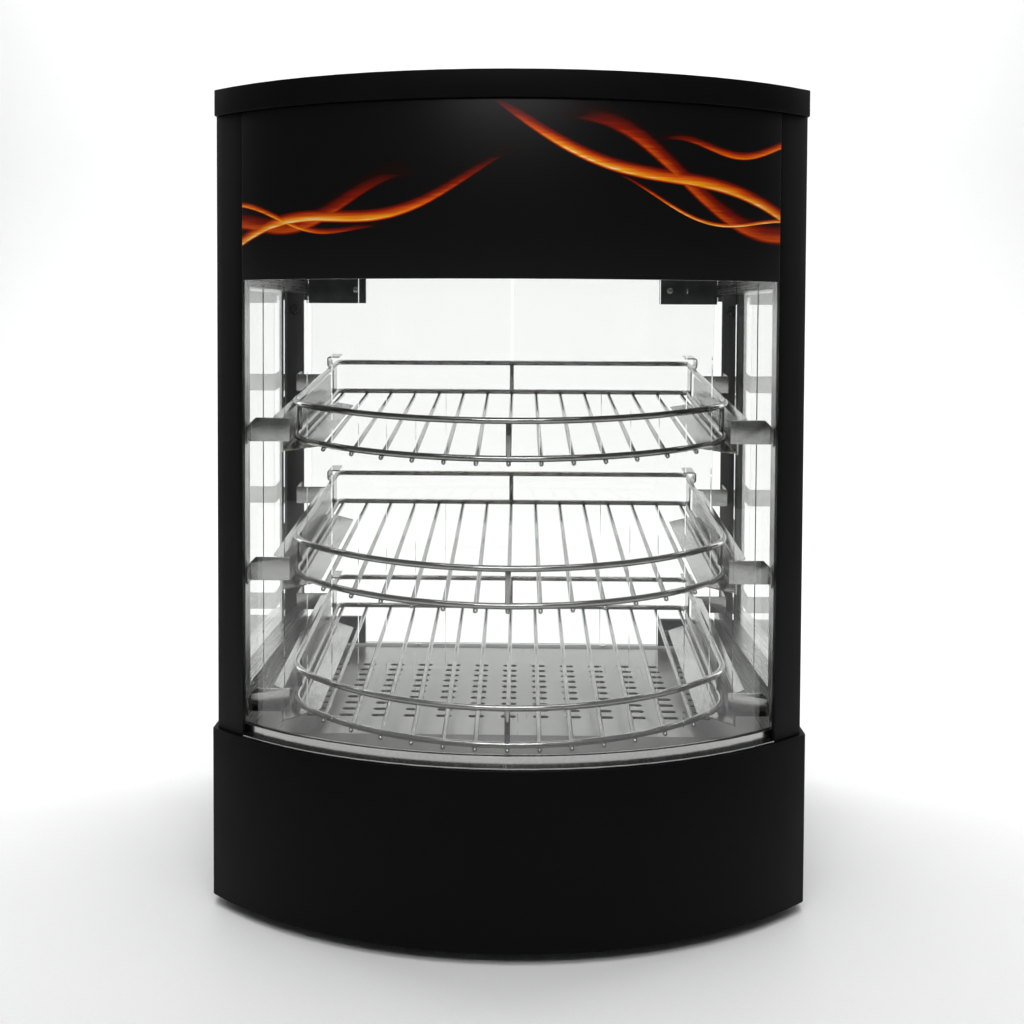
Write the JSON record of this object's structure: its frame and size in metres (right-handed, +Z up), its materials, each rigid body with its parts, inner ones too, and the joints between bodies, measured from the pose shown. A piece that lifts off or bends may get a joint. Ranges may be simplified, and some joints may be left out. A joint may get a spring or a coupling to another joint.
{
  "type": "pizza warmer",
  "caption": "Countertop pizza warmer with a bowed glass front, folded black base and cap, tilted wire racks on side rails and hinged glass rear doors.",
  "frame": {"origin": "centre of the overall box in plan, on the surface that the four feet stand on", "axes": "+Z up; -Y towards the customer, out through the bowed glass front; +X to the right as the customer sees it"},
  "size_m": [0.466, 0.469, 0.6408],
  "materials": {
    "black_paint": "black powder coat on folded sheet steel, satin",
    "header_print": "satin black band with a printed pattern of warm ribbons",
    "stainless": "brushed stainless sheet",
    "bright_steel": "polished stainless rod and sheet",
    "dark_steel": "dark steel plate",
    "clear_glass": "clear toughened glass with ground edges",
    "black_plastic": "moulded black plastic",
    "red_plastic": "translucent red plastic",
    "rubber": "black rubber",
    "element_steel": "heat-tinted sheathed heating rod",
    "lamp_glass": "frosted lamp glass"
  },
  "bodies": {
    "case": {"base_shell": "black_paint", "front_post_left": "black_paint", "front_post_right": "black_paint", "side_panel_left": "black_paint", "side_panel_right": "black_paint", "top_cap": "black_paint", "header_band": "header_print", "base_pan": "stainless", "floor_plate": "stainless", "front_sill": "stainless", "front_pillar_left": "stainless", "front_pillar_right": "stainless", "rear_post_left": "stainless", "rear_post_right": "stainless", "side_lower_rail_left": "stainless", "side_lower_rail_right": "stainless", "side_upper_rail_left": "stainless", "side_upper_rail_right": "stainless", "ceiling_panel": "stainless", "rear_top_panel": "stainless", "control_panel": "stainless", "element_bracket": "stainless", "lamp_reflector": "stainless", "glass_channel": "bright_steel", "rack_rail_top_left": "bright_steel", "rack_rail_top_right": "bright_steel", "rack_rail_middle_left": "bright_steel", "rack_rail_middle_right": "bright_steel", "rack_rail_bottom_left": "bright_steel", "rack_rail_bottom_right": "bright_steel", "hinge_bracket_top_left": "bright_steel", "hinge_bracket_top_right": "bright_steel", "hinge_bracket_bottom_left": "bright_steel", "hinge_bracket_bottom_right": "bright_steel", "rear_sill": "dark_steel", "front_glass": "clear_glass", "side_glass_left": "clear_glass", "side_glass_right": "clear_glass", "thermostat_body": "black_plastic", "switch_housing": "black_plastic", "cable_gland": "black_plastic", "pilot_lamp": "red_plastic", "foot_front_left": "rubber", "foot_front_right": "rubber", "foot_rear_left": "rubber", "foot_rear_right": "rubber", "heating_element": "element_steel", "lamp": "lamp_glass"},
    "door_left": {"door_glass_left": "clear_glass", "hinge_patch_top_left": "dark_steel", "hinge_patch_bottom_left": "dark_steel"},
    "door_right": {"door_glass_right": "clear_glass", "hinge_patch_top_right": "dark_steel", "hinge_patch_bottom_right": "dark_steel"},
    "rack_top": {"rack_top": "bright_steel"},
    "rack_middle": {"rack_middle": "bright_steel"},
    "rack_bottom": {"rack_bottom": "bright_steel"},
    "thermostat_knob": {"thermostat_knob": "black_plastic"},
    "power_rocker": {"power_rocker": "red_plastic"},
    "light_rocker": {"light_rocker": "black_plastic"}
  },
  "joints": [
    {"name": "door_left_hinge", "type": "hinge", "parent": "case", "child": "door_left", "pos_m": [-0.2098, 0.20455, 0.3205], "axis": [0, 0, 1], "range_deg": [0, 110]},
    {"name": "door_right_hinge", "type": "hinge", "parent": "case", "child": "door_right", "pos_m": [0.2098, 0.20455, 0.3205], "axis": [0, 0, -1], "range_deg": [0, 110]},
    {"name": "rack_top_slide", "type": "slide", "parent": "case", "child": "rack_top", "axis": [0, 0.9965, 0.0839], "range_m": [-0.026, 0.003]},
    {"name": "rack_middle_slide", "type": "slide", "parent": "case", "child": "rack_middle", "axis": [0, 0.9965, 0.0839], "range_m": [-0.026, 0.003]},
    {"name": "rack_bottom_slide", "type": "slide", "parent": "case", "child": "rack_bottom", "axis": [0, 0.9965, 0.0839], "range_m": [-0.026, 0.003]},
    {"name": "thermostat_turn", "type": "hinge", "parent": "case", "child": "thermostat_knob", "pos_m": [-0.058, 0.21525, 0.07], "axis": [0, -1, 0], "range_deg": [0, 270]},
    {"name": "power_rocker_tilt", "type": "hinge", "parent": "case", "child": "power_rocker", "pos_m": [0, 0.2161, 0.07], "axis": [1, 0, 0], "range_deg": [-7, 7]},
    {"name": "light_rocker_tilt", "type": "hinge", "parent": "case", "child": "light_rocker", "pos_m": [0.024, 0.2161, 0.07], "axis": [1, 0, 0], "range_deg": [-7, 7]}
  ]
}
